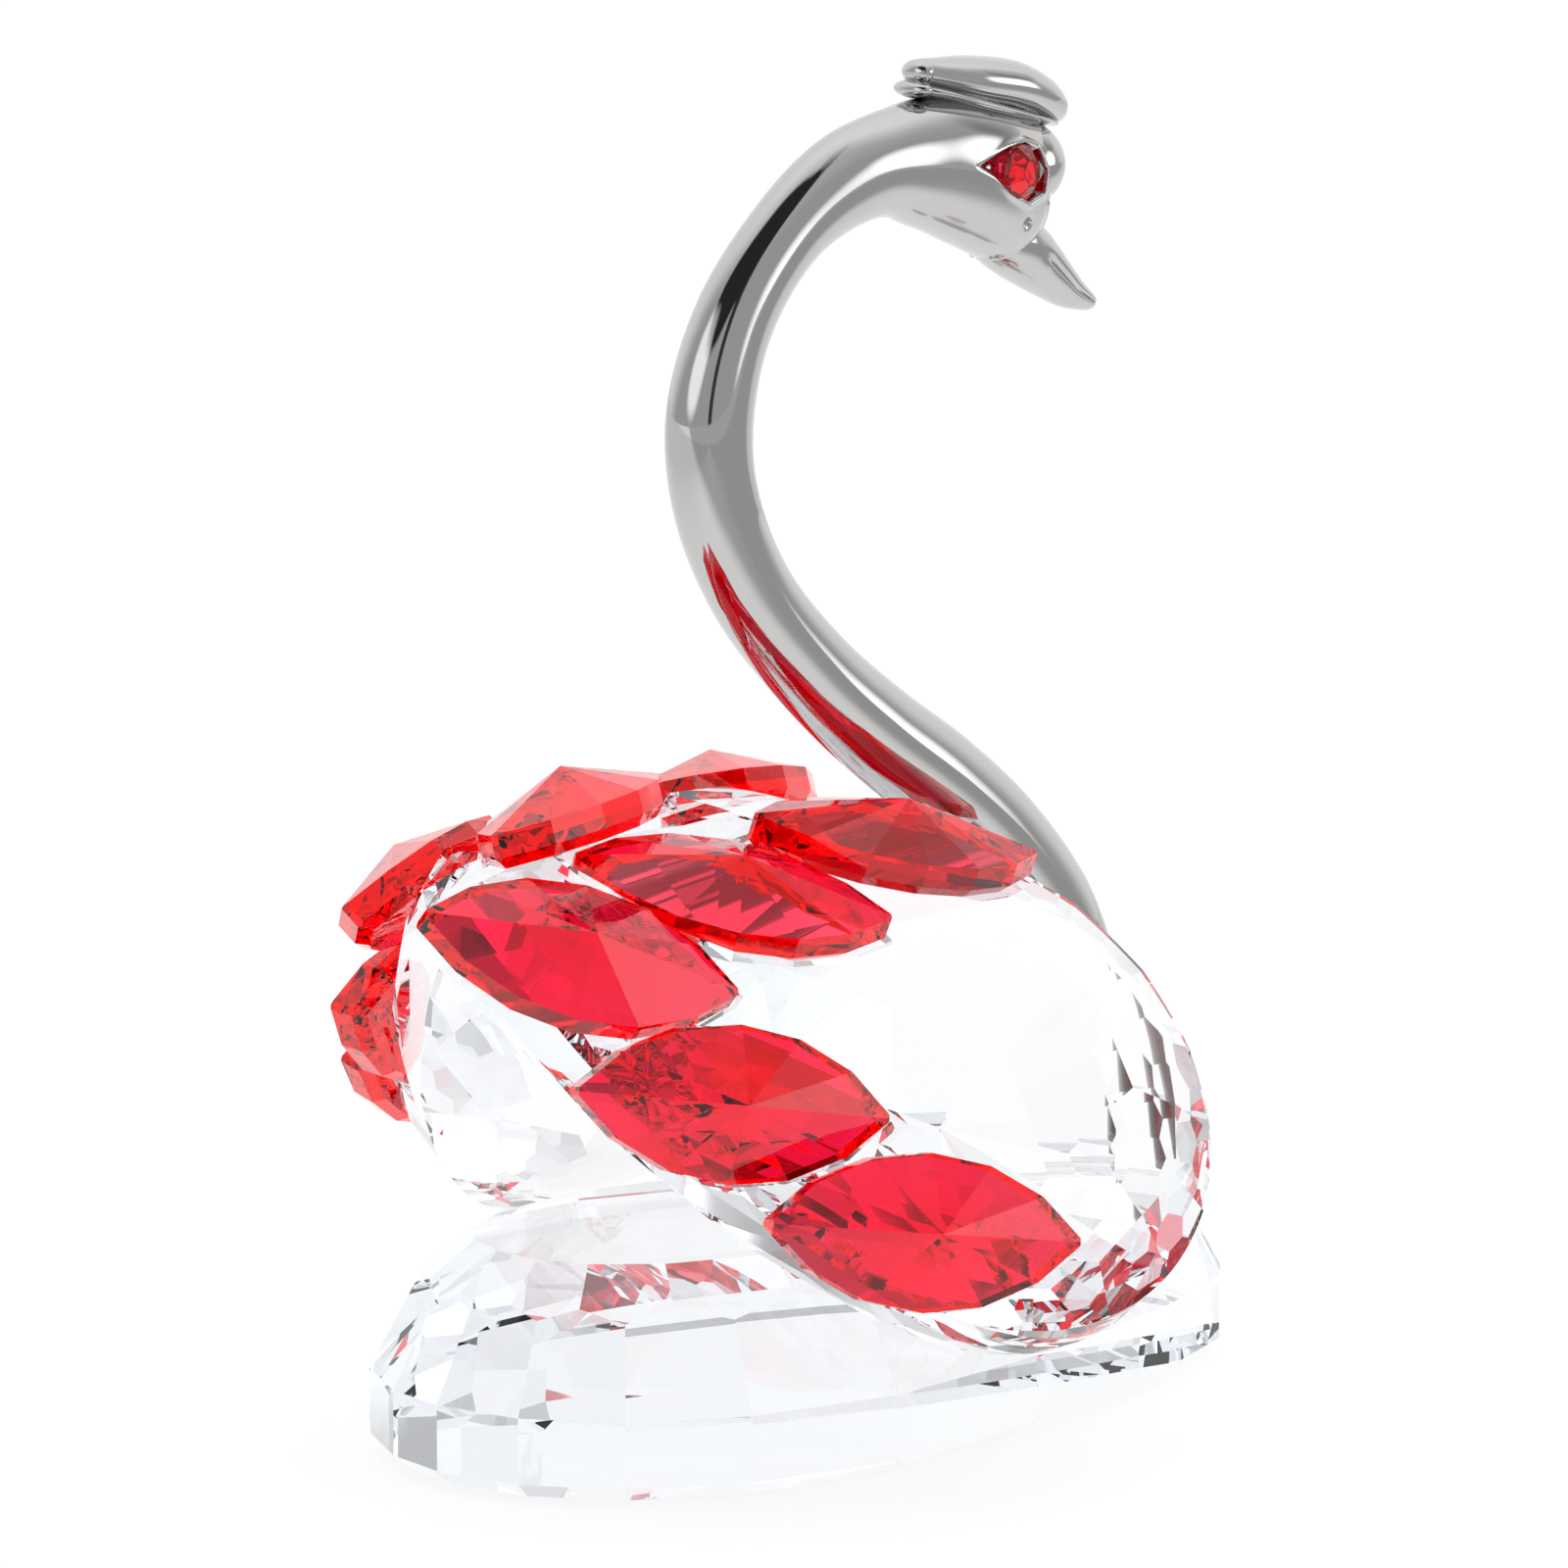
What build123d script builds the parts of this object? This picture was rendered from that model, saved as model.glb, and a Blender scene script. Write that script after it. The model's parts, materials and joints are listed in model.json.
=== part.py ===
"""A crystal glass swan: plated neck casting, two wing crystals, ten feather stones, one base crystal.

Millimetres. +Z is up and +X is the way the swan looks. The origin is the middle of the base's flat
bottom face. Right-hand pieces are on the -Y side. The left-hand ones are made the same way and mirrored,
and they are glued on at slightly different angles.
"""

import os
from math import asin, atan2, cos, degrees, radians, sin

from build123d import *

# Base crystal: a pear-like slab with a bevelled bottom and a crown of two rows of facets.
base_height = 17.0
girdle_top = 6.5
bevel_rise = 1.3
bevel_run = 1.7
lower_crown_rise = 6.5
lower_crown_run = 3.4
upper_crown_rise = 4.2
upper_crown_run = 5.2
upper_crown_inset = 3.0
base_half_outline = [(-39.4, 3.0), (-36.8, 10.2), (-31.0, 16.2), (-22.0, 20.2), (-9.0, 21.4),
                     (4.0, 18.6), (16.0, 14.8), (27.0, 10.2), (36.6, 4.8), (39.4, 1.4)]

# Wing crystals: drop-shaped plates that lean in at the top. Each is set out on the right-hand side:
# its centre, lean, yaw and slope, then its five stones, each with its place on the wing
# (x, y, height of the stone's back) and the heading, tilt and turn it is glued at.
wings = {
    "right": ((1.4, -14.7, 27.0), 36.9, 2.2, 28.8,
              [(9.8, -16.3, 4.3, -76.4, 36.8, -12.0),
               (23.3, -5.6, 5.2, -61.7, 23.9, -28.9),
               (35.2, 4.3, 5.0, -2.0, 4.5, -24.9),
               (21.4, 11.1, 5.0, 93.7, 29.4, -12.6),
               (4.4, 16.3, 5.2, 93.2, 29.0, -11.2)]),
    "left": ((-3.9, -16.2, 29.1), 39.0, 10.4, 32.2,
             [(7.3, -14.8, 6.7, -63.5, 29.4, -16.4),
              (30.8, -7.3, 2.9, -47.9, 38.6, -20.0),
              (31.7, 3.8, 6.1, 8.4, 16.2, -11.3),
              (21.0, 11.1, 4.0, 91.5, 30.5, -14.3),
              (6.2, 14.2, 6.4, 101.5, 20.7, -8.7)]),
}
wing_radius = 21.2
wing_tip = 44.5
wing_shoulder = 85.0
wing_wall = 3.2
wing_rear_wall = 0.86
wing_table = 9.4
wing_back = 10.2
# Each row of facets: how far in from the rim it starts, its height there, its angle, and its headings.
wing_front_rows = [(0.0, wing_wall, 31.0, range(0, 360, 20)),
                   (4.4, 5.8, 17.0, range(10, 360, 40)),
                   (10.0, 7.5, 8.0, range(30, 360, 60))]
wing_back_rows = [(0.0, wing_rear_wall, 42.0, range(6, 360, 12)),
                  (2.0, wing_rear_wall + 1.8, 34.0, range(0, 360, 12)),
                  (4.4, wing_rear_wall + 3.4, 26.0, range(6, 360, 12)),
                  (7.4, wing_rear_wall + 4.9, 20.0, range(0, 360, 15)),
                  (11.0, wing_rear_wall + 6.2, 16.0, range(10, 360, 20))]

# Feather stones: marquise cut, with a crown that rises to a point and a shallow back.
stone_length = 26.0
stone_width = 12.2
stone_sides = 6
stone_girdle = 1.9
stone_crown = 3.0
stone_back = 0.9
stone_back_angle = 40.0
stone_tip_cut = 0.35
glue_gap = 0.05
seat_margin = 0.25
seat_depth = 8.0
rim_points = 60

# Neck casting, in the plane of symmetry: x, z, width and height of its rounded section, foot to beak.
neck_stations = [(24.6, 17.05, 10.4, 10.4), (25.2, 24.0, 9.4, 9.4), (24.4, 31.0, 8.8, 8.8),
                 (21.6, 38.2, 8.6, 8.6), (16.6, 44.6, 8.4, 8.4), (10.8, 49.8, 8.1, 8.1),
                 (4.4, 54.6, 7.6, 7.6), (-1.6, 59.8, 7.1, 7.1), (-7.2, 66.2, 6.9, 6.9),
                 (-10.6, 73.4, 6.9, 6.9), (-11.2, 80.6, 6.9, 6.9), (-8.75, 88.1, 6.4, 6.4),
                 (-3.6, 94.5, 6.3, 6.3), (2.3, 98.1, 7.2, 7.8), (7.6, 98.6, 8.4, 9.2),
                 (11.6, 98.2, 9.8, 11.2), (15.4, 97.0, 10.2, 12.4), (18.8, 95.0, 9.2, 11.4),
                 (20.8, 93.0, 6.8, 8.4), (21.9, 91.6, 4.6, 5.0), (23.6, 89.8, 3.6, 3.4),
                 (25.2, 88.3, 3.0, 2.4), (26.5, 87.2, 1.8, 1.4)]
crest_stations = [(7.8, 105.0, 3.8, 2.8), (11.0, 105.0, 6.4, 4.2), (15.0, 104.7, 7.8, 4.8),
                  (19.0, 103.6, 7.4, 4.8), (22.2, 102.2, 4.2, 2.8)]
eye_place = (15.6, -4.9, 98.15)
eye_turn = 20.0
eye_diameter = 4.4
eye_depth = 1.4
eye_crown = 0.9
eye_crown_angle = 38.0
eye_back_angle = 40.0
eye_girdle = 0.47
eye_facets = 8

os.makedirs("parts", exist_ok=True)


def tilted(frame, point, heading, tilt):
    """A cutting plane in a frame: it faces heading, tipped from the frame's plane up to its normal."""
    flat = frame.x_dir * cos(radians(heading)) + frame.y_dir * sin(radians(heading))
    facing = flat * cos(radians(tilt)) + frame.z_dir * sin(radians(tilt))
    return Plane(origin=frame.from_local_coords(Vector(*point)), z_dir=facing)


def sides(corners):
    """The middle and the outward heading of each side of a closed outline that runs anticlockwise."""
    for start, end in zip(corners, corners[1:] + corners[:1]):
        middle = ((start[0] + end[0]) / 2, (start[1] + end[1]) / 2)
        yield middle, degrees(atan2(start[0] - end[0], end[1] - start[1]))


def save(piece, name):
    piece.part.label = name
    export_step(piece.part, f"parts/{name}.step")


# ---- base crystal ----
base_outline = [(x, -y) for x, y in base_half_outline] + base_half_outline[::-1]
with BuildPart() as base_crystal:
    with BuildSketch():
        with BuildLine():
            Polyline(*base_outline, close=True)
        make_face()
    extrude(amount=base_height)
    lower_crown_angle = degrees(atan2(lower_crown_run, lower_crown_rise))
    upper_crown_angle = degrees(atan2(upper_crown_run, upper_crown_rise))
    bevel_angle = -degrees(atan2(bevel_run, bevel_rise))
    headings = []
    for (x, y), heading in sides(base_outline):
        headings.append(heading)
        split(bisect_by=tilted(Plane.XY, (x, y, girdle_top), heading, lower_crown_angle), keep=Keep.BOTTOM)
        split(bisect_by=tilted(Plane.XY, (x, y, bevel_rise), heading, bevel_angle), keep=Keep.BOTTOM)
    for (x, y), before, after in zip(base_outline, headings[-1:] + headings[:-1], headings):
        turn = (after - before + 180) % 360 - 180
        heading = before + turn / 2
        inner_x = x - upper_crown_inset * cos(radians(heading))
        inner_y = y - upper_crown_inset * sin(radians(heading))
        start = (inner_x, inner_y, base_height - upper_crown_rise)
        split(bisect_by=tilted(Plane.XY, start, heading, upper_crown_angle), keep=Keep.BOTTOM)
save(base_crystal, "base_crystal")


def wing_plane(centre, lean, yaw, slope):
    """A wing's plane on the right-hand side: x runs to the drop's point, z out of the swan."""
    outward = Vector(-sin(radians(yaw)) * cos(radians(lean)),
                     -cos(radians(yaw)) * cos(radians(lean)),
                     sin(radians(lean)))
    forward = Vector(0, 0, 1).cross(outward).normalized()
    upward = outward.cross(forward)
    to_point = upward * sin(radians(slope)) - forward * cos(radians(slope))
    return Plane(origin=centre, x_dir=to_point, z_dir=outward)


def stone_plane(wing, place):
    """The plane of a stone's back: its x runs along the stone, to the rear."""
    x, y, height, heading, tilt, turn = place
    seat = tilted(wing, (x, y, height), heading, 90 - tilt)
    level = wing.z_dir.cross(Vector(0, 0, 1)).normalized()
    rear = level.rotate(Axis((0, 0, 0), wing.z_dir), turn)
    along = (rear - seat.z_dir * rear.dot(seat.z_dir)).normalized()
    return Plane(origin=seat.origin, x_dir=along, z_dir=seat.z_dir)


stone_arc = (stone_length**2 / 4 + stone_width**2 / 4) / stone_width
half_angle = degrees(asin(stone_length / 2 / stone_arc))
upper_arc = []
for step in range(stone_sides):
    angle = radians(half_angle - 2 * half_angle * step / stone_sides)
    upper_arc.append((stone_arc * sin(angle), stone_arc * cos(angle) - stone_arc + stone_width / 2))
stone_outline = upper_arc + [(-x, -y) for x, y in upper_arc]
girdle_low = stone_back
girdle_high = stone_back + stone_girdle

# ---- feather stones and wing crystals: each side is made on the right, and the left one is mirrored ----
for side, (centre, lean, yaw, slope, places) in wings.items():
    wing_frame = wing_plane(centre, lean, yaw, slope)
    pieces = []
    for place in places:
        frame = stone_plane(wing_frame, place)
        with BuildPart() as stone:
            with BuildSketch(frame):
                with BuildLine():
                    Polyline(*stone_outline, close=True)
                make_face()
            extrude(amount=girdle_high + stone_crown)
            for (x, y), heading in sides(stone_outline):
                reach = x * cos(radians(heading)) + y * sin(radians(heading))
                crown_facet = tilted(frame, (x, y, girdle_high), heading, degrees(atan2(reach, stone_crown)))
                back_facet = tilted(frame, (x, y, girdle_low), heading, -stone_back_angle)
                split(bisect_by=crown_facet, keep=Keep.BOTTOM)
                split(bisect_by=back_facet, keep=Keep.BOTTOM)
            for heading in (0, 180):
                end = stone_length / 2 - stone_tip_cut
                point = (end * cos(radians(heading)), 0, 0)
                split(bisect_by=tilted(frame, point, heading, 0), keep=Keep.BOTTOM)
        pieces.append((f"feather_stone_{side}_{len(pieces) + 1}", stone))

    with BuildPart() as wing:
        with BuildSketch(wing_frame.offset(-wing_back)):
            with BuildLine() as drop:
                round_end = CenterArc((0, 0), wing_radius, wing_shoulder, 180 - wing_shoulder)
                TangentArc(round_end @ 0, (wing_tip, 0), tangent=(round_end % 0) * -1)
                mirror(about=Plane.XZ)
            make_face()
        extrude(amount=wing_back + wing_table)
        rim = [drop.line @ (k / rim_points) for k in range(rim_points)]
        for face, rows in ((1, wing_front_rows), (-1, wing_back_rows)):
            for inset, height, angle, headings in rows:
                for heading in headings:
                    flat = (cos(radians(heading)), sin(radians(heading)))
                    reach = max(p.X * flat[0] + p.Y * flat[1] for p in rim) - inset
                    point = (reach * flat[0], reach * flat[1], face * height)
                    facet = tilted(wing_frame, point, heading, face * (90 - angle))
                    split(bisect_by=facet, keep=Keep.BOTTOM)
        for place in places:
            with BuildSketch(stone_plane(wing_frame, place).offset(-glue_gap)):
                with BuildLine():
                    Polyline(*stone_outline, close=True)
                make_face()
                offset(amount=seat_margin, kind=Kind.INTERSECTION)
            extrude(amount=seat_depth, mode=Mode.SUBTRACT)
        split(bisect_by=Plane.XZ.offset(glue_gap), keep=Keep.TOP)
    pieces.append((f"wing_crystal_{side}", wing))

    for name, piece in pieces:
        if side == "left":
            with BuildPart() as mirrored:
                mirror(piece.part, about=Plane.XZ)
            piece = mirrored
        save(piece, name)

# ---- eyes: round stones with a faceted crown ----
eye_facing = (sin(radians(eye_turn)), -cos(radians(eye_turn)), 0)
eye_frame = Plane(origin=eye_place, x_dir=(0, 0, 1), z_dir=eye_facing)
with BuildPart() as eye_stone_right:
    with BuildSketch(eye_frame.offset(-eye_depth)):
        RegularPolygon(eye_diameter / 2, 2 * eye_facets)
    extrude(amount=eye_depth + eye_crown)
    for number in range(eye_facets):
        heading = 360 / eye_facets * number
        reach = eye_diameter / 2
        x = reach * cos(radians(heading))
        y = reach * sin(radians(heading))
        crown_facet = tilted(eye_frame, (x, y, 0), heading, 90 - eye_crown_angle)
        back_facet = tilted(eye_frame, (x, y, -eye_girdle), heading, eye_back_angle - 90)
        split(bisect_by=crown_facet, keep=Keep.BOTTOM)
        split(bisect_by=back_facet, keep=Keep.BOTTOM)
save(eye_stone_right, "eye_stone_right")
with BuildPart() as eye_stone_left:
    mirror(eye_stone_right.part, about=Plane.XZ)
save(eye_stone_left, "eye_stone_left")


# ---- neck casting: one loft from the foot to the tip of the beak, with the crest on the crown ----
def along_line(rows):
    """Each station's plane, square to the line through its neighbours, with its half width and height."""
    places = [Vector(x, 0, z) for x, z, width, height in rows]
    onward = places[1:] + [places[-1] * 2 - places[-2]]
    backward = [places[0] * 2 - places[1]] + places[:-1]
    for place, ahead, behind, (x, z, width, height) in zip(places, onward, backward, rows):
        yield Plane(origin=place, x_dir=(0, 1, 0), z_dir=ahead - behind), width / 2, height / 2


left_eye_frame = Plane(origin=(eye_place[0], -eye_place[1], eye_place[2]), x_dir=(0, 0, 1),
                       z_dir=(eye_facing[0], -eye_facing[1], 0))
with BuildPart() as neck_casting:
    for plane, half_width, half_height in along_line(neck_stations):
        with BuildSketch(plane):
            Ellipse(half_width, half_height)
    loft()
    for plane, half_width, half_height in along_line(crest_stations):
        with BuildSketch(plane):
            Ellipse(half_width, half_height)
    loft()
    for frame in (eye_frame, left_eye_frame):
        with BuildSketch(frame.offset(-eye_depth - glue_gap)):
            Circle(eye_diameter / 2 + glue_gap)
        extrude(amount=eye_depth + 2 * eye_crown, mode=Mode.SUBTRACT)
    split(bisect_by=Plane.XY.offset(base_height + glue_gap), keep=Keep.TOP)
save(neck_casting, "neck_casting")
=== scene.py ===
"""Looks for the crystal swan: clear and red cut glass, a bright plated neck, and a white studio.

Lengths are in metres, except in the neck casting's tables and functions, which are in millimetres.
"""

import json
import math

import bpy
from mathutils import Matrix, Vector


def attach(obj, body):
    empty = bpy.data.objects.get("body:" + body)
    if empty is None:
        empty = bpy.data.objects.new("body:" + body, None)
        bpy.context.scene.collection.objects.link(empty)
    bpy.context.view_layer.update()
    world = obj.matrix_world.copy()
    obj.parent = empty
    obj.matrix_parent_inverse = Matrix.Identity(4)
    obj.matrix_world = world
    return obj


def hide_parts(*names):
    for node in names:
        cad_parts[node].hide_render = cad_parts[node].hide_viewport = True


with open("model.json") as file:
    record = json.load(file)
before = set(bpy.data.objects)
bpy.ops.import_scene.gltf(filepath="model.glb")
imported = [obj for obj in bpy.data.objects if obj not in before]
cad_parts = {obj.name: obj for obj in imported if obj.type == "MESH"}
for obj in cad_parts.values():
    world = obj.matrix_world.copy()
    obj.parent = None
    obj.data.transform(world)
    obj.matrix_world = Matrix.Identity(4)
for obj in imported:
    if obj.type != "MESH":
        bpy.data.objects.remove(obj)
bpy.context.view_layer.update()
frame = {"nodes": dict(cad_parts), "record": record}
nodes = frame["nodes"]
scene = bpy.context.scene
MM = 0.001

# ---------------------------------------------------------------- camera
AZIMUTH = math.radians(-36.4)
ELEVATION = math.radians(9.8)
DISTANCE = 0.665
FOCAL_LENGTH = 194.5
SENSOR_WIDTH = 36.0
CLIP_START, CLIP_END = 0.05, 30.0
TARGET = Vector((-4.1 * MM, 0, 50.8 * MM))

toward_camera = Vector((math.sin(AZIMUTH) * math.cos(ELEVATION),
                        -math.cos(AZIMUTH) * math.cos(ELEVATION),
                        math.sin(ELEVATION)))
camera_data = bpy.data.cameras.new("camera")
camera_data.lens = FOCAL_LENGTH
camera_data.sensor_width = SENSOR_WIDTH
camera_data.clip_start = CLIP_START
camera_data.clip_end = CLIP_END
camera = bpy.data.objects.new("camera", camera_data)
scene.collection.objects.link(camera)
camera.location = TARGET + toward_camera * DISTANCE
camera.rotation_mode = "QUATERNION"
camera.rotation_quaternion = (-toward_camera).to_track_quat("-Z", "Y")
scene.camera = camera


# ---------------------------------------------------------------- node helpers
def new_material(name):
    """A material with one Principled shader, which is its surface."""
    material = bpy.data.materials.new(name)
    material.use_nodes = True
    tree = material.node_tree
    tree.nodes.clear()
    output = tree.nodes.new("ShaderNodeOutputMaterial")
    shader = tree.nodes.new("ShaderNodeBsdfPrincipled")
    tree.links.new(shader.outputs["BSDF"], output.inputs["Surface"])
    return material, tree, shader, output


def add(tree, kind, **values):
    """A node, with its properties and its inputs set by name."""
    node = tree.nodes.new(kind)
    for name, value in values.items():
        if hasattr(node, name):
            setattr(node, name, value)
        else:
            node.inputs[name.replace("_", " ")].default_value = value
    return node


def calculated(tree, operation, first, second=None, clamp=False):
    """The result of a sum on two sockets, or on a socket and a number."""
    node = add(tree, "ShaderNodeMath", operation=operation, use_clamp=clamp)
    for socket, value in zip(node.inputs, (first, second)):
        if isinstance(value, (int, float)):
            socket.default_value = value
        elif value is not None:
            tree.links.new(value, socket)
    return node.outputs["Value"]


def mapped(tree, value, low, high, at_low=0.0, at_high=1.0, smooth=False):
    """Goes from at_low to at_high while the value goes from low to high."""
    node = add(tree, "ShaderNodeMapRange", From_Min=low, From_Max=high, To_Min=at_low, To_Max=at_high)
    if smooth:
        node.interpolation_type = "SMOOTHSTEP"
    tree.links.new(value, node.inputs["Value"])
    return node.outputs["Result"]


def along(tree, vector, direction):
    """How far a vector reaches in a fixed direction."""
    node = add(tree, "ShaderNodeVectorMath", operation="DOT_PRODUCT")
    node.inputs[1].default_value = direction
    tree.links.new(vector, node.inputs[0])
    return node.outputs["Value"]


def mixed(tree, share, first, second):
    """The first colour where the share is 0, and the second where it is 1."""
    node = add(tree, "ShaderNodeMix", data_type="RGBA")
    color_a, color_b = [socket for socket in node.inputs if socket.type == "RGBA"]
    color_a.default_value = first
    color_b.default_value = second
    tree.links.new(share, node.inputs["Factor"])
    return [socket for socket in node.outputs if socket.type == "RGBA"][0]


def noise(tree, scale, detail):
    """Even mottling that is fixed to the object, and the object's own coordinates."""
    place = add(tree, "ShaderNodeTexCoord").outputs["Object"]
    node = add(tree, "ShaderNodeTexNoise", Scale=scale, Detail=detail)
    tree.links.new(place, node.inputs["Vector"])
    return node.outputs["Fac"], place


# ---------------------------------------------------------------- glass
GLASS_IOR = 1.54
HAZE_SCALE, HAZE_DETAIL = 220.0, 3.0
HAZE_FROM, HAZE_TO = 0.35, 0.75
# The feather stones are clear with a coloured back, so the red is on the back and the rim.
BACK_RED = (1.0, 0.0002, 0.011, 1)
CROWN_PINK = (1.0, 0.94, 0.97, 1)
# The crown starts and is complete where the cosine of its angle to the outward direction is this.
CROWN_EDGE, CROWN_FULL = 0.45, 0.6
OUTWARD_Y, OUTWARD_Z = 0.78, 0.62


def crystal(name, color, absorbed, density, haze):
    """Cut glass that takes in light on its way through, with a trace of haze in its polish."""
    material, tree, shader, output = new_material(name)
    shader.inputs["Base Color"].default_value = color
    shader.inputs["Transmission Weight"].default_value = 1.0
    shader.inputs["IOR"].default_value = GLASS_IOR
    mottling, _ = noise(tree, HAZE_SCALE, HAZE_DETAIL)
    roughness = mapped(tree, mottling, HAZE_FROM, HAZE_TO, 0.0, haze)
    tree.links.new(roughness, shader.inputs["Roughness"])
    volume = add(tree, "ShaderNodeVolumeAbsorption")
    volume.inputs["Color"].default_value = absorbed
    volume.inputs["Density"].default_value = density
    tree.links.new(volume.outputs["Volume"], output.inputs["Volume"])
    return material


def feather_crystal(name, outward):
    """Red glass with a paler crown on the outward side."""
    material = crystal(name, color=(1.0, 0.3, 0.4, 1), absorbed=(1.0, 0.0, 0.25, 1), density=300.0, haze=0.01)
    tree = material.node_tree
    surface = add(tree, "ShaderNodeNewGeometry")
    facing = along(tree, surface.outputs["Normal"], outward)
    # The normal is turned round on the inside of the glass, so this turns it back.
    turn = mapped(tree, surface.outputs["Backfacing"], 0.0, 1.0, 1.0, -1.0)
    crown = mapped(tree, calculated(tree, "MULTIPLY", facing, turn), CROWN_EDGE, CROWN_FULL)
    color = mixed(tree, crown, BACK_RED, CROWN_PINK)
    tree.links.new(color, tree.nodes["Principled BSDF"].inputs["Base Color"])
    return material


clear_glass = crystal("clear_crystal_glass", color=(0.972, 0.978, 0.988, 1),
                      absorbed=(0.8, 0.9, 1.0, 1), density=3.0, haze=0.004)
feather_glass = {"right": feather_crystal("feather_red_glass_right", (0, -OUTWARD_Y, OUTWARD_Z)),
                 "left": feather_crystal("feather_red_glass_left", (0, OUTWARD_Y, OUTWARD_Z))}
eye_glass = crystal("eye_red_glass", color=(1.0, 0.75, 0.8, 1),
                    absorbed=(0.97, 0.0, 0.25, 1), density=1300.0, haze=0.02)

# ---------------------------------------------------------------- plated metal
PLATED = (0.56, 0.555, 0.55, 1)
# Painted shade: the darker colour given to the foot down between the wings, full below the first height and
# gone above the second.
SHADED_FOOT = (0.20, 0.187, 0.175, 1)
SHADE_FULL_BELOW, SHADE_GONE_ABOVE = 25 * MM, 35 * MM
FOOT_ROUGHNESS = 0.14
RIPPLE_SCALE, RIPPLE_DETAIL = 260.0, 4.0
RIPPLE_FROM, RIPPLE_TO = 0.3, 0.7
GLOSS_LOW, GLOSS_HIGH = 0.03, 0.07
BUMP_STRENGTH, BUMP_DISTANCE = 0.02, 0.2 * MM

plating, tree, shader, output = new_material("bright_plating")
shader.inputs["Metallic"].default_value = 1.0
ripple, place = noise(tree, RIPPLE_SCALE, RIPPLE_DETAIL)
# The foot, down between the wings, has painted shade in a darker colour, and is also made rougher there.
parts = add(tree, "ShaderNodeSeparateXYZ")
tree.links.new(place, parts.inputs[0])
unshaded = mapped(tree, parts.outputs["Z"], SHADE_FULL_BELOW, SHADE_GONE_ABOVE)
tree.links.new(mixed(tree, unshaded, SHADED_FOOT, PLATED), shader.inputs["Base Color"])
gloss = mapped(tree, ripple, RIPPLE_FROM, RIPPLE_TO, GLOSS_LOW, GLOSS_HIGH)
rough = mapped(tree, unshaded, 0.0, 1.0, FOOT_ROUGHNESS, 0.0)
tree.links.new(calculated(tree, "ADD", gloss, rough), shader.inputs["Roughness"])
bump = add(tree, "ShaderNodeBump", Strength=BUMP_STRENGTH, Distance=BUMP_DISTANCE)
tree.links.new(ripple, bump.inputs["Height"])
tree.links.new(bump.outputs["Normal"], shader.inputs["Normal"])

finishes = {"clear_crystal": clear_glass, "eye_red": eye_glass, "bright_plating": plating}
for part in frame["record"]["subparts"]:
    side = "right" if "right" in part["node"] else "left"
    for slot in nodes[part["node"]].material_slots:
        slot.material = finishes.get(part["material_slot"], feather_glass[side])

# ---------------------------------------------------------------- neck casting, in millimetres
# The arch of the neck: x, z, width and height of its rounded section, from the foot up to the head.
NECK = [(24.6, 17.05, 10.4, 10.4), (25.2, 24.0, 9.4, 9.4), (24.4, 31.0, 8.8, 8.8), (21.6, 38.2, 8.6, 8.6),
        (16.6, 44.6, 8.4, 8.4), (10.8, 49.8, 8.1, 8.1), (4.4, 54.6, 7.6, 7.6), (-1.6, 59.8, 7.1, 7.1),
        (-7.2, 66.2, 6.9, 6.9), (-10.6, 73.4, 6.9, 6.9), (-11.2, 80.6, 6.9, 6.9), (-8.75, 88.1, 6.4, 6.4),
        (-3.6, 94.5, 6.3, 6.3), (2.3, 98.1, 7.2, 7.8)]
# Each row after this is a section's top x, z, its bottom x, z, and its width.
HEAD = [(7.0, 103.6, 8.2, 93.9, 8.4), (11.5, 104.3, 12.1, 92.3, 9.9), (15.6, 103.9, 15.4, 90.9, 10.3),
        (19.0, 102.6, 17.6, 90.7, 8.9), (20.4, 101.2, 18.9, 91.5, 6.8), (21.0, 99.6, 19.6, 92.6, 4.8),
        (21.1, 97.9, 20.1, 93.8, 2.4), (20.9, 96.6, 20.3, 94.9, 0.6)]
BEAK = [(17.5, 95.5, 12.9, 92.6, 4.6), (19.3, 94.6, 16.2, 90.1, 6.0), (20.9, 93.3, 18.6, 88.7, 5.6),
        (21.9, 92.3, 20.0, 88.0, 5.0), (23.2, 90.75, 21.6, 87.25, 4.4), (24.6, 89.1, 23.1, 86.6, 3.7),
        (25.6, 88.1, 24.6, 86.25, 3.0), (26.3, 87.45, 25.7, 86.15, 2.2), (26.6, 87.0, 26.4, 86.5, 0.9)]
# The crest is a cap over a lip, with a channel between them.
CAP = [(8.4, 106.7, 8.3, 106.0, 1.2), (8.9, 107.05, 8.7, 105.3, 2.6), (10.6, 107.1, 10.3, 104.5, 4.4),
       (14.0, 107.1, 13.2, 103.4, 6.6), (18.0, 106.6, 16.5, 102.6, 7.4), (20.9, 105.3, 19.2, 101.8, 6.6),
       (22.6, 103.8, 21.0, 101.3, 4.8), (23.2, 102.6, 22.1, 101.2, 2.6), (23.2, 102.0, 22.7, 101.3, 0.8)]
LIP = [(7.8, 105.0, 7.8, 104.6, 1.2), (8.5, 105.3, 8.3, 104.2, 3.4), (10.4, 104.9, 10.2, 103.8, 6.2),
       (13.1, 104.1, 12.9, 103.0, 7.9), (16.0, 103.3, 15.8, 102.3, 8.2), (18.7, 102.6, 18.5, 101.7, 7.2),
       (21.3, 101.9, 21.1, 101.1, 4.4), (22.4, 101.5, 22.3, 101.0, 1.2)]
# Smooth lumps, each with its middle and its three radii: the forehead, and the crest's two curls.
LUMPS = [((18.9, 0, 98.3), (3.35, 4.4, 3.6)),
         ((9.0, 0, 106.05), (1.1, 1.7, 1.0)),
         ((8.5, 0, 104.75), (1.1, 2.2, 0.75))]
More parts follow.
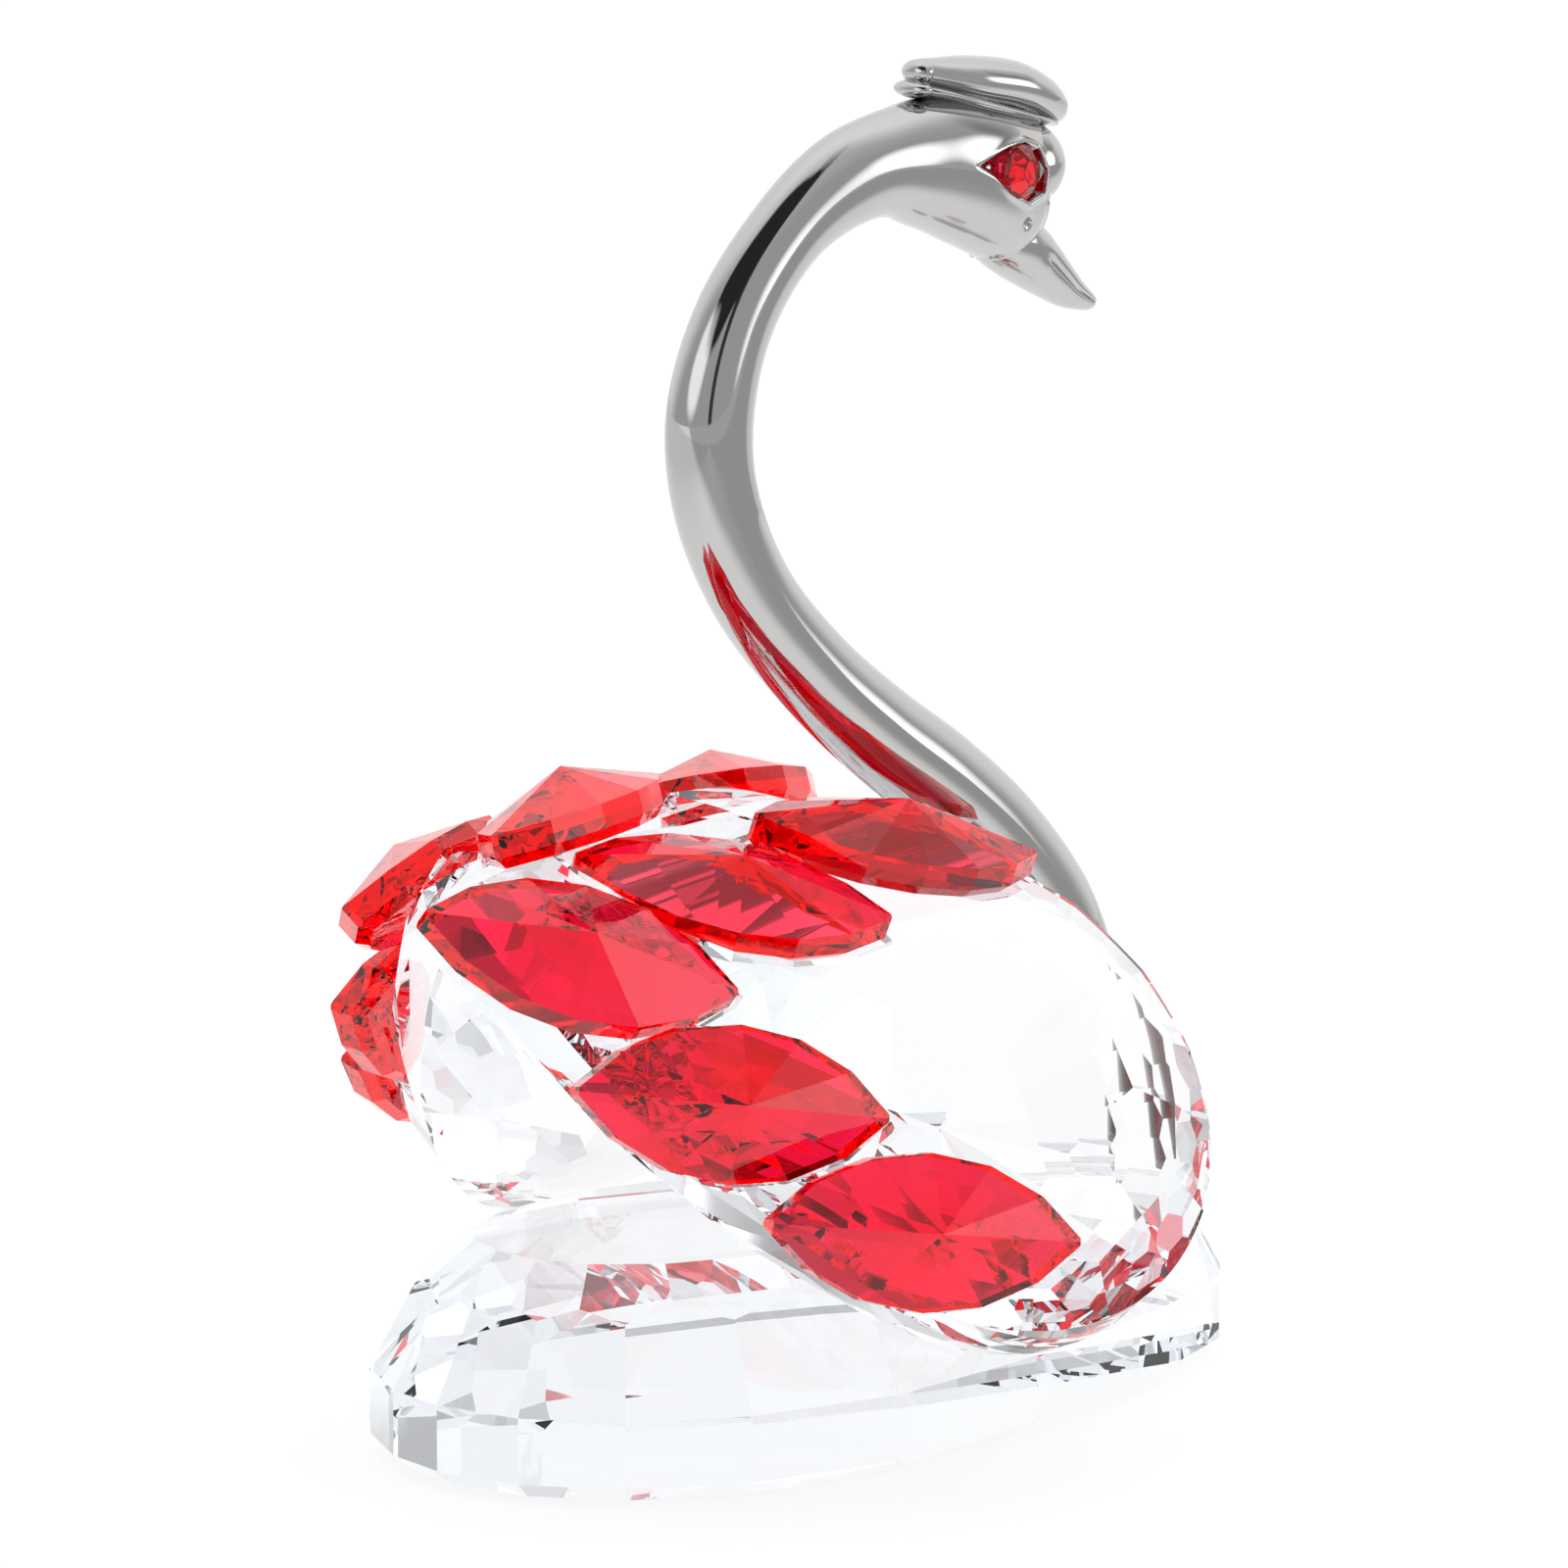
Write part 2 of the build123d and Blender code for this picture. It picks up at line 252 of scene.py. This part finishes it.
# Lines on the side of the head, as x, z points.
SOCKET = [(10.9, 98.85), (12.4, 99.6), (14.2, 100.2), (16.0, 100.55), (17.6, 100.0), (18.4, 98.2),
          (17.9, 96.3), (16.2, 95.6), (14.4, 96.5), (12.6, 97.9)]
CHEEK = [(18.9, 95.4), (19.5, 94.0), (19.3, 92.7), (18.3, 91.9), (17.0, 91.5), (15.2, 91.1)]
PIT = (16.6, 94.0)
# All the face's details lie in the first ranges of x and z, and the eye's in the second ones.
FACE_X, FACE_Z = (10, 21), (90, 102)
EYE_X, EYE_Z = (10, 19.5), (94.5, 101.5)
# The top and the underside of the head stay plain, this far to each side.
PLAIN_SIDE = 1.2
# The socket is shallow at its rear corner, and deeper along x under the stone.
SOCKET_DEPTH, STONE_DEPTH, SOCKET_SLOPE = 0.45, 1.05, 0.6
DEEPENS_X = (12.7, 14.1)
# The lid is raised round the socket, from nothing at the rear to its full height.
LID_HEIGHT, LID_WIDTH = 0.3, 0.32
LID_X = (12, 16)
CHEEK_HEIGHT, CHEEK_WIDTH = 0.22, 0.24
PIT_DEPTH, PIT_WIDTH = 0.7, 0.35
# The mouth's groove: its depth, and its width and its height on the beak's side as angles.
MOUTH_DEPTH, MOUTH_WIDTH, MOUTH_ANGLE = 0.36, 0.15, 0.1
# The shares of the beak's length where the groove starts and where it ends.
MOUTH_START, MOUTH_END = (0.2, 0.35), (0.87, 0.97)
# How finely each form is cut, along it and round it.
HEAD_STEPS, HEAD_SEGMENTS = 32, 240
NECK_STRIDE = 4
BEAK_STEPS, BEAK_SEGMENTS = 24, 120
CREST_STEPS, CREST_SEGMENTS = 20, 96
LUMP_RINGS, LUMP_SEGMENTS = 32, 64


def smooth_value(a, b, c, d, t):
    """A value between b and c, at t from 0 to 1, on the Catmull-Rom curve through all four."""
    return 0.5 * (2 * b + (c - a) * t + (2 * a - 5 * b + 4 * c - d) * t**2 + (3 * b - a - 3 * c + d) * t**3)


def smooth_rows(rows, steps):
    """Rows on a smooth curve through all the rows given, this many steps from each to the next."""
    first = [2 * a - b for a, b in zip(rows[0], rows[1])]
    last = [2 * a - b for a, b in zip(rows[-1], rows[-2])]
    padded = [first, *rows, last]
    for k in range(len(rows) - 1):
        for step in range(steps):
            yield [smooth_value(a, b, c, d, step / steps) for a, b, c, d in zip(*padded[k:k + 4])]
    yield list(rows[-1])


def within(value, limits):
    return limits[0] < value < limits[1]


def ramp(value, low, high):
    """0 below low, 1 above high, and straight between them."""
    return min(1, max(0, (value - low) / (high - low)))


def bell(distance, width):
    """1 at no distance, and soon 0 beyond the width."""
    return math.exp(-(distance / width) ** 2)


def line_distance(x, z, line):
    """The distance from a point to the nearest place on a line of points."""
    best = math.inf
    for (ax, az), (bx, bz) in zip(line, line[1:]):
        dx, dz = bx - ax, bz - az
        t = min(1, max(0, ((x - ax) * dx + (z - az) * dz) / (dx * dx + dz * dz)))
        best = min(best, math.hypot(x - ax - t * dx, z - az - t * dz))
    return best


def inside(x, z, outline):
    """Whether a point lies within a closed outline."""
    crossed = False
    for (ax, az), (bx, bz) in zip(outline, outline[1:] + outline[:1]):
        if (az > z) != (bz > z) and x < ax + (z - az) / (bz - az) * (bx - ax):
            crossed = not crossed
    return crossed


def head_detail(place, angle, progress):
    """How far the head's surface stands out, or in, at a place on its side."""
    x, y, z = place
    if abs(y) < PLAIN_SIDE or not (within(x, FACE_X) and within(z, FACE_Z)):
        return 0
    height = 0.0
    if within(x, EYE_X) and within(z, EYE_Z):
        edge = line_distance(x, z, SOCKET + SOCKET[:1])
        if inside(x, z, SOCKET):
            slope = ramp(edge, 0, SOCKET_SLOPE)
            depth = SOCKET_DEPTH + STONE_DEPTH * ramp(x, *DEEPENS_X)
            height -= depth * slope * slope * (3 - 2 * slope)
        height += LID_HEIGHT * bell(edge, LID_WIDTH) * ramp(x, *LID_X)
    height += CHEEK_HEIGHT * bell(line_distance(x, z, CHEEK), CHEEK_WIDTH)
    height -= PIT_DEPTH * bell(math.hypot(x - PIT[0], z - PIT[1]), PIT_WIDTH)
    return height


def beak_detail(place, angle, progress):
    """The line of the mouth, a groove along each side of the beak."""
    from_groove = min(abs(angle - MOUTH_ANGLE),
                      abs(angle - math.pi + MOUTH_ANGLE),
                      abs(angle - 2 * math.pi - MOUTH_ANGLE))
    fade = ramp(progress, *MOUTH_START) * (1 - ramp(progress, *MOUTH_END))
    return -MOUTH_DEPTH * bell(from_groove, MOUTH_WIDTH) * fade


def swept(rings, segments, detail=None):
    """Vertices and faces of a closed tube through the rings."""
    vertices, faces = [], []
    for k, (top_x, top_z, low_x, low_z, width) in enumerate(rings):
        middle = Vector(((top_x + low_x) / 2, 0, (top_z + low_z) / 2))
        rise = Vector(((top_x - low_x) / 2, 0, (top_z - low_z) / 2))
        upward = rise.normalized()
        for j in range(segments):
            angle = 2 * math.pi * j / segments
            place = middle + Vector((0, width / 2 * math.cos(angle), 0)) + rise * math.sin(angle)
            if detail:
                facing = Vector((0, math.cos(angle) * rise.length, 0)) + upward * math.sin(angle) * width / 2
                place += facing.normalized() * detail(place, angle, k / (len(rings) - 1))
            vertices.append(place)
    for k in range(len(rings) - 1):
        for j in range(segments):
            a, b = k * segments + j, k * segments + (j + 1) % segments
            faces.append((a, b, b + segments, a + segments))
    faces.append(tuple(range(segments))[::-1])
    faces.append(tuple(len(vertices) - segments + j for j in range(segments)))
    return vertices, faces


def lump(middle, radii):
    """Vertices and faces of a smooth rounded lump."""
    rings, segments = LUMP_RINGS, LUMP_SEGMENTS
    vertices = []
    for k in range(1, rings):
        tip = math.pi * k / rings
        for j in range(segments):
            turn = 2 * math.pi * j / segments
            vertices.append(Vector((middle[0] + radii[0] * math.sin(tip) * math.cos(turn),
                                    middle[1] + radii[1] * math.sin(tip) * math.sin(turn),
                                    middle[2] + radii[2] * math.cos(tip))))
    faces = [(k * segments + j, (k + 1) * segments + j,
              (k + 1) * segments + (j + 1) % segments, k * segments + (j + 1) % segments)
             for k in range(rings - 2) for j in range(segments)]
    faces.append(tuple(range(segments)))
    faces.append(tuple((rings - 2) * segments + j for j in range(segments))[::-1])
    return vertices, faces


neck_rows = []
for k, (x, z, width, height) in enumerate(NECK):
    before = NECK[max(k - 1, 0)]
    after = NECK[min(k + 1, len(NECK) - 1)]
    onward = Vector((after[0] - before[0], after[1] - before[1])).normalized() * height / 2
    neck_rows.append((x - onward.y, z + onward.x, x + onward.y, z - onward.x, width))
# The neck is plain, so it needs fewer rings than the head.
rings = list(smooth_rows(neck_rows + HEAD, HEAD_STEPS))
plain = HEAD_STEPS * (len(neck_rows) - 1)
rings = rings[:plain:NECK_STRIDE] + rings[plain:]
shells = [swept(rings, HEAD_SEGMENTS, head_detail),
          swept(list(smooth_rows(BEAK, BEAK_STEPS)), BEAK_SEGMENTS, beak_detail),
          swept(list(smooth_rows(CAP, CREST_STEPS)), CREST_SEGMENTS),
          swept(list(smooth_rows(LIP, CREST_STEPS)), CREST_SEGMENTS)]
shells += [lump(*row) for row in LUMPS]
vertices, faces = [], []
for shell_vertices, shell_faces in shells:
    start = len(vertices)
    vertices += [place * MM for place in shell_vertices]
    faces += [[start + index for index in face] for face in shell_faces]
neck_mesh = bpy.data.meshes.new("plated_neck")
neck_mesh.from_pydata(vertices, [], faces)
neck_mesh.polygons.foreach_set("use_smooth", [True] * len(neck_mesh.polygons))
neck_mesh.materials.append(plating)
neck = bpy.data.objects.new("plated_neck", neck_mesh)
scene.collection.objects.link(neck)
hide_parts("neck_casting")
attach(neck, "root")

# ---------------------------------------------------------------- floor
FLOOR_REACH = 40.0
FLOOR_DROP = 0.2 * MM
FLOOR_GRAY = (0.3, 0.3, 0.3, 1)
# The glow's strength round the figurine and at the front of the studio, and where it dims.
GLOW_BRIGHT, GLOW_DIM = 0.83, 0.34
DIM_FROM, DIM_TO = 75 * MM, 170 * MM
# The sideways slopes where the glow starts and stops fading, and what is left of it there.
FADE_FROM, FADE_TO, FADE_SHARE = 0.11, 0.45, 0.72

corners = [(-FLOOR_REACH, -FLOOR_REACH, 0), (FLOOR_REACH, -FLOOR_REACH, 0),
           (FLOOR_REACH, FLOOR_REACH, 0), (-FLOOR_REACH, FLOOR_REACH, 0)]
floor_mesh = bpy.data.meshes.new("floor")
floor_mesh.from_pydata(corners, [], [(0, 1, 2, 3)])
floor = bpy.data.objects.new("floor", floor_mesh)
scene.collection.objects.link(floor)
floor.location.z = -FLOOR_DROP
white, tree, shader, output = new_material("floor_white")
shader.inputs["Base Color"].default_value = FLOOR_GRAY
shader.inputs["Roughness"].default_value = 0.9
shader.inputs["Specular IOR Level"].default_value = 0.0
shader.inputs["Emission Color"].default_value = (1, 1, 1, 1)
place = add(tree, "ShaderNodeTexCoord").outputs["Object"]
# The floor is brightest around and behind the figurine, and dimmer towards the front of the studio.
glow = mapped(tree, along(tree, place, (0, -1, 0)), DIM_FROM, DIM_TO, GLOW_BRIGHT, GLOW_DIM, smooth=True)
# It also fades to both sides of a lane that widens away from the front.
ahead = along(tree, place, (-math.sin(AZIMUTH), math.cos(AZIMUTH), 0))
aside = along(tree, place, (math.cos(AZIMUTH), math.sin(AZIMUTH), 0))
reach = calculated(tree, "ADD", ahead, DISTANCE)
slope = calculated(tree, "DIVIDE", calculated(tree, "ABSOLUTE", aside), reach)
fade = mapped(tree, slope, FADE_FROM, FADE_TO, 1.0, FADE_SHARE)
tree.links.new(calculated(tree, "MULTIPLY", glow, fade), shader.inputs["Emission Strength"])
floor_mesh.materials.append(white)

# ---------------------------------------------------------------- studio
# Azimuths are where a light stands: 0 is ahead of a camera that looks along +Y.
ROOM_LIGHT, LEAST_LIGHT = 0.5, 0.03
# Round soft panels: azimuth, elevation, inner angle, outer angle and strength, negative for a dark screen.
PANELS = [(-36, 28, 48, 84, 0.5), (0, 90, 15, 55, 0.15), (92, 22, 12, 22, 0.9), (-145, 14, 12, 24, 1.5),
          (112, 50, 19, 27, -0.75), (-115, 45, 8, 22, -0.3)]
# A dark upright strip: azimuth, inner and outer angle, and strength.
STRIP = (144, 3, 6, -0.45)
STRIP_FRONT = 3.0

world = bpy.data.worlds.new("studio")
scene.world = world
world.use_nodes = True
tree = world.node_tree
tree.nodes.clear()
output = add(tree, "ShaderNodeOutputWorld")
shade = add(tree, "ShaderNodeBackground")
tree.links.new(shade.outputs["Background"], output.inputs["Surface"])
direction = add(tree, "ShaderNodeTexCoord").outputs["Generated"]
shade.inputs["Color"].default_value = (1, 1, 1, 1)


def panel(azimuth, elevation, inner, outer):
    """How much a direction lies within a round soft panel: 1 inside inner degrees, 0 beyond outer."""
    a, e = math.radians(azimuth), math.radians(elevation)
    toward = (-math.sin(a) * math.cos(e), math.cos(a) * math.cos(e), math.sin(e))
    cosine = along(tree, direction, toward)
    return mapped(tree, cosine, math.cos(math.radians(outer)), math.cos(math.radians(inner)), smooth=True)


def strip(azimuth, inner, outer):
    """How much a direction lies within an upright band: 1 inside inner degrees, 0 beyond outer."""
    a = math.radians(azimuth)
    offset = calculated(tree, "ABSOLUTE", along(tree, direction, (math.cos(a), math.sin(a), 0)))
    band = mapped(tree, offset, math.sin(math.radians(outer)), math.sin(math.radians(inner)), smooth=True)
    front = along(tree, direction, (-math.sin(a), math.cos(a), 0))
    return calculated(tree, "MULTIPLY", band, calculated(tree, "MULTIPLY", front, STRIP_FRONT, clamp=True))


total = ROOM_LIGHT
for *shape, strength in PANELS:
    total = calculated(tree, "ADD", total, calculated(tree, "MULTIPLY", panel(*shape), strength))
*shape, strength = STRIP
total = calculated(tree, "ADD", total, calculated(tree, "MULTIPLY", strip(*shape), strength))
tree.links.new(calculated(tree, "MAXIMUM", total, LEAST_LIGHT), shade.inputs["Strength"])

scene.view_settings.view_transform = "Standard"
scene.view_settings.look = "None"
scene.cycles.max_bounces = 24
scene.cycles.transmission_bounces = 24
scene.cycles.glossy_bounces = 12
scene.cycles.transparent_max_bounces = 12
scene.cycles.caustics_reflective = True
scene.cycles.caustics_refractive = True
